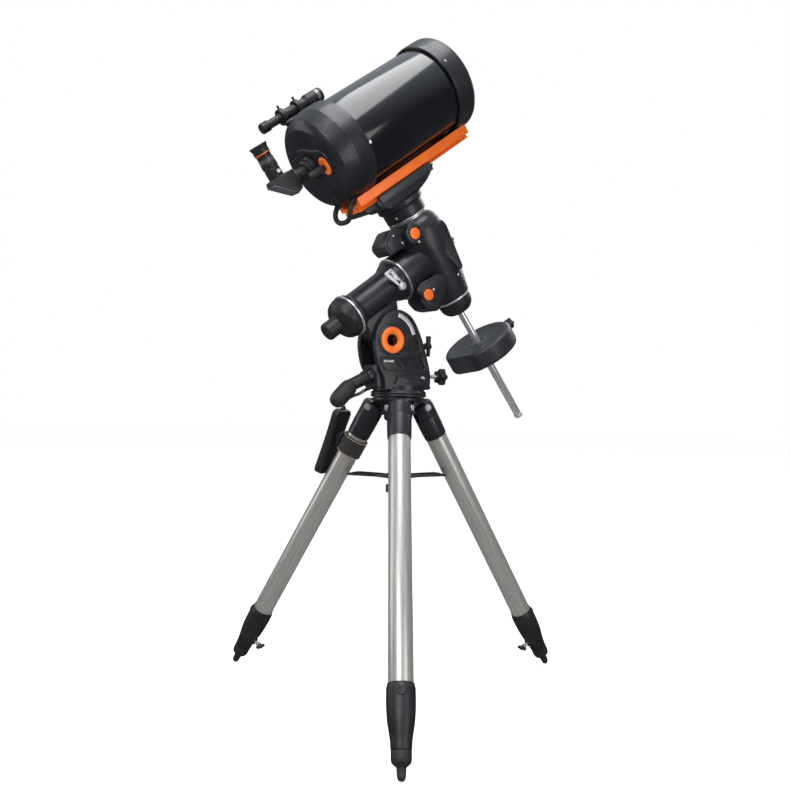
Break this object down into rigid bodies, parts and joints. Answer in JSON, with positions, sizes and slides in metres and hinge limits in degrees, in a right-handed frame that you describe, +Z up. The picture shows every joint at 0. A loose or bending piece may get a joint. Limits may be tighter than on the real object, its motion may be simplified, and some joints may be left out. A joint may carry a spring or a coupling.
{
  "type": "schmidt cassegrain telescope",
  "caption": "Schmidt-Cassegrain telescope tube on a German equatorial mount with counterweight and hand controller, on a folding steel tripod.",
  "frame": {"origin": "on the floor, at the centre of the overall box seen from above, the counterweight and the tube's overhang included", "axes": "+Z up, +Y north, the way the tube points, 36.5 degrees above the horizon; +X east, the side of the clutch lever"},
  "size_m": [0.841, 0.8712, 1.5713],
  "materials": {
    "casting": "charcoal semi-matte paint on castings",
    "gloss_black": "gloss black paint on aluminium",
    "cast_iron": "charcoal semi-matte paint on cast iron",
    "black_plastic": "black moulded plastic",
    "orange": "orange anodised aluminium",
    "stainless": "brushed stainless steel",
    "silver": "satin bright metal",
    "chrome": "polished chrome",
    "glass": "coated clear glass",
    "mirror": "first-surface mirror",
    "webbing": "woven strap",
    "cord": "black curly cord"
  },
  "bodies": {
    "tripod": {"tripod_head": "casting"},
    "leg_a": {"leg_socket_a": "casting", "leg_tube_a": "stainless", "leg_sleeve_a": "black_plastic"},
    "leg_b": {"leg_socket_b": "casting", "leg_tube_b": "stainless", "leg_sleeve_b": "black_plastic"},
    "leg_c": {"leg_socket_c": "casting", "leg_tube_c": "stainless", "leg_sleeve_c": "black_plastic", "hand_controller": "black_plastic", "controller_strap": "webbing", "controller_cord": "cord"},
    "extension_a": {"leg_extension_a": "black_plastic"},
    "extension_b": {"leg_extension_b": "black_plastic"},
    "extension_c": {"leg_extension_c": "black_plastic"},
    "lock_a": {"leg_lock_screw_a": "silver"},
    "lock_b": {"leg_lock_screw_b": "silver"},
    "lock_c": {"leg_lock_screw_c": "silver"},
    "tray_knob": {"tension_knob": "black_plastic"},
    "tray": {"spreader_tray": "casting"},
    "mount": {"mount_fork": "casting", "latitude_axle": "orange"},
    "azimuth_knob_north": {"azimuth_knob_north": "black_plastic"},
    "azimuth_knob_west": {"azimuth_knob_west": "black_plastic"},
    "latitude_handle": {"latitude_handle": "black_plastic"},
    "latitude_screw": {"latitude_screw": "black_plastic"},
    "ra_body": {"ra_housing": "casting"},
    "polar_cap": {"polar_cap": "black_plastic"},
    "ra_circle": {"ra_setting_circle": "silver"},
    "ra_lever": {"ra_clutch_lever": "silver"},
    "dec_body": {"dec_housing": "casting", "dec_motor_cover": "casting", "dec_end_cap": "black_plastic", "ra_shaft": "stainless", "counterweight_shaft": "chrome"},
    "dec_clutch": {"dec_clutch_knob": "black_plastic"},
    "dec_circle": {"dec_setting_circle": "silver"},
    "safety_screw": {"safety_screw": "silver"},
    "counterweight": {"counterweight": "cast_iron"},
    "counterweight_knob": {"counterweight_knob": "black_plastic"},
    "saddle": {"dec_head": "casting", "saddle": "casting"},
    "saddle_knob_a": {"saddle_knob_a": "black_plastic"},
    "saddle_knob_b": {"saddle_knob_b": "black_plastic"},
    "ota": {"dovetail_bar": "orange", "optical_tube": "gloss_black", "front_cell": "casting", "rear_cell": "casting", "corrector_plate": "glass", "secondary_holder": "black_plastic", "visual_back": "black_plastic", "finder_bracket": "black_plastic", "finder_scope": "black_plastic", "carry_handle": "black_plastic"},
    "focus_knob": {"focus_knob": "black_plastic"},
    "primary_mirror": {"primary_mirror": "mirror"},
    "diagonal": {"diagonal": "black_plastic"},
    "eyepiece": {"eyepiece": "black_plastic"}
  },
  "joints": [
    {"name": "fold_a", "type": "hinge", "parent": "tripod", "child": "leg_a", "pos_m": [0.05889, -0.082, 0.6863], "axis": [0.5, 0.866, 0], "range_deg": [0, 31.06]},
    {"name": "fold_b", "type": "hinge", "parent": "tripod", "child": "leg_b", "pos_m": [0, 0.02, 0.6863], "axis": [-1, 0, 0], "range_deg": [0, 31.06]},
    {"name": "fold_c", "type": "hinge", "parent": "tripod", "child": "leg_c", "pos_m": [-0.05889, -0.082, 0.6863], "axis": [0.5, -0.866, 0], "range_deg": [0, 31.06]},
    {"name": "tray_drop", "type": "slide", "parent": "tripod", "child": "tray_knob", "axis": [0, 0, -1], "range_m": [0, 0.2]},
    {"name": "tray_turn", "type": "hinge", "parent": "tray_knob", "child": "tray", "pos_m": [0, -0.048, 0.5183], "axis": [0, 0, 1], "range_deg": [0, 60]},
    {"name": "extend_a", "type": "slide", "parent": "leg_a", "child": "extension_a", "axis": [0.4468, -0.258, -0.8566], "range_m": [0, 0.38]},
    {"name": "extend_b", "type": "slide", "parent": "leg_b", "child": "extension_b", "axis": [0, 0.516, -0.8566], "range_m": [0, 0.38]},
    {"name": "extend_c", "type": "slide", "parent": "leg_c", "child": "extension_c", "axis": [-0.4468, -0.258, -0.8566], "range_m": [0, 0.38]},
    {"name": "lock_turn_a", "type": "hinge", "parent": "leg_a", "child": "lock_a", "pos_m": [0.35108, -0.25069, 0.05834], "axis": [0.7418, -0.4283, 0.516], "range_deg": [-180, 0]},
    {"name": "lock_turn_b", "type": "hinge", "parent": "leg_b", "child": "lock_b", "pos_m": [0, 0.35739, 0.05834], "axis": [0, 0.8566, 0.516], "range_deg": [-180, 0]},
    {"name": "lock_turn_c", "type": "hinge", "parent": "leg_c", "child": "lock_c", "pos_m": [-0.35108, -0.25069, 0.05834], "axis": [-0.7418, -0.4283, 0.516], "range_deg": [-180, 0]},
    {"name": "azimuth", "type": "hinge", "parent": "tripod", "child": "mount", "pos_m": [0, -0.048, 0.7103], "axis": [0, 0, 1], "range_deg": [-7, 7]},
    {"name": "azimuth_north_turn", "type": "hinge", "parent": "mount", "child": "azimuth_knob_north", "pos_m": [0, 0.074, 0.7613], "axis": [0, 1, 0], "continuous": true},
    {"name": "azimuth_west_turn", "type": "hinge", "parent": "mount", "child": "azimuth_knob_west", "pos_m": [-0.098, -0.04, 0.7613], "axis": [1, 0, 0], "continuous": true},
    {"name": "latitude_handle_turn", "type": "hinge", "parent": "mount", "child": "latitude_handle", "pos_m": [0, -0.124, 0.7608], "axis": [0, -0.9483, -0.3173], "range_deg": [-120, 120]},
    {"name": "latitude_screw_turn", "type": "hinge", "parent": "mount", "child": "latitude_screw", "pos_m": [0, 0.004, 0.8353], "axis": [0, 1, 0], "continuous": true},
    {"name": "latitude", "type": "hinge", "parent": "mount", "child": "ra_body", "pos_m": [0, -0.095, 0.8433], "axis": [1, 0, 0], "range_deg": [-15, 25]},
    {"name": "polar_cap_pull", "type": "slide", "parent": "ra_body", "child": "polar_cap", "axis": [0, -0.8039, -0.5948], "range_m": [0, 0.02]},
    {"name": "ra_circle_turn", "type": "hinge", "parent": "ra_body", "child": "ra_circle", "pos_m": [0, -0.06045, 0.9906], "axis": [0, 0.8039, 0.5948], "continuous": true},
    {"name": "ra_lever_turn", "type": "hinge", "parent": "ra_body", "child": "ra_lever", "pos_m": [0.05, -0.07498, 0.96989], "axis": [1, 0, 0], "range_deg": [0, 60]},
    {"name": "right_ascension", "type": "hinge", "parent": "ra_body", "child": "dec_body", "pos_m": [0, -0.06045, 0.9906], "axis": [0, 0.8039, 0.5948], "range_deg": [-95, 95]},
    {"name": "dec_clutch_turn", "type": "hinge", "parent": "dec_body", "child": "dec_clutch", "pos_m": [0, 0.09085, 1.09883], "axis": [0, 0.8039, 0.5948], "continuous": true},
    {"name": "dec_circle_turn", "type": "hinge", "parent": "dec_body", "child": "dec_circle", "pos_m": [0, -0.02906, 1.1432], "axis": [0, -0.5948, 0.8039], "continuous": true},
    {"name": "safety_screw_off", "type": "slide", "parent": "dec_body", "child": "safety_screw", "axis": [0, 0.5948, -0.8039], "range_m": [0, 0.05]},
    {"name": "counterweight_slide", "type": "slide", "parent": "dec_body", "child": "counterweight", "axis": [0, -0.5948, 0.8039], "range_m": [-0.17, 0.075]},
    {"name": "counterweight_knob_turn", "type": "hinge", "parent": "counterweight", "child": "counterweight_knob", "pos_m": [0, 0.27896, 0.89841], "axis": [0, 0.8039, 0.5948], "continuous": true},
    {"name": "declination", "type": "hinge", "parent": "dec_body", "child": "saddle", "pos_m": [0, -0.04453, 1.1641], "axis": [0, -0.5948, 0.8039], "continuous": true},
    {"name": "saddle_knob_a_turn", "type": "hinge", "parent": "saddle", "child": "saddle_knob_a", "pos_m": [-0.06, -0.10625, 1.1769], "axis": [1, 0, 0], "continuous": true},
    {"name": "saddle_knob_b_turn", "type": "hinge", "parent": "saddle", "child": "saddle_knob_b", "pos_m": [-0.06, -0.01943, 1.24114], "axis": [1, 0, 0], "continuous": true},
    {"name": "tube_slide", "type": "slide", "parent": "saddle", "child": "ota", "axis": [0, 0.8039, 0.5948], "range_m": [-0.05, 0.03]},
    {"name": "focus_turn", "type": "hinge", "parent": "ota", "child": "focus_knob", "pos_m": [0.05, -0.30171, 1.19896], "axis": [0, 0.8039, 0.5948], "range_deg": [-3600, 3600]},
    {"name": "mirror_focus", "type": "slide", "parent": "ota", "child": "primary_mirror", "axis": [0, 0.8039, 0.5948], "range_m": [-0.0075, 0.0075]},
    {"name": "diagonal_turn", "type": "hinge", "parent": "ota", "child": "diagonal", "pos_m": [0, -0.31206, 1.20623], "axis": [0, 0.8039, 0.5948], "continuous": true},
    {"name": "eyepiece_pull", "type": "slide", "parent": "diagonal", "child": "eyepiece", "axis": [0, -0.5948, 0.8039], "range_m": [0, 0.06]}
  ],
  "couplings": [
    {"joint": "fold_b", "follows": "fold_a", "ratio": 1},
    {"joint": "fold_c", "follows": "fold_a", "ratio": 1},
    {"joint": "tray_drop", "follows": "fold_a", "m_per_rad": 0.3689},
    {"joint": "tray_turn", "follows": "fold_a", "ratio": 1.9316},
    {"joint": "focus_turn", "follows": "mirror_focus", "rad_per_m": 8377}
  ]
}
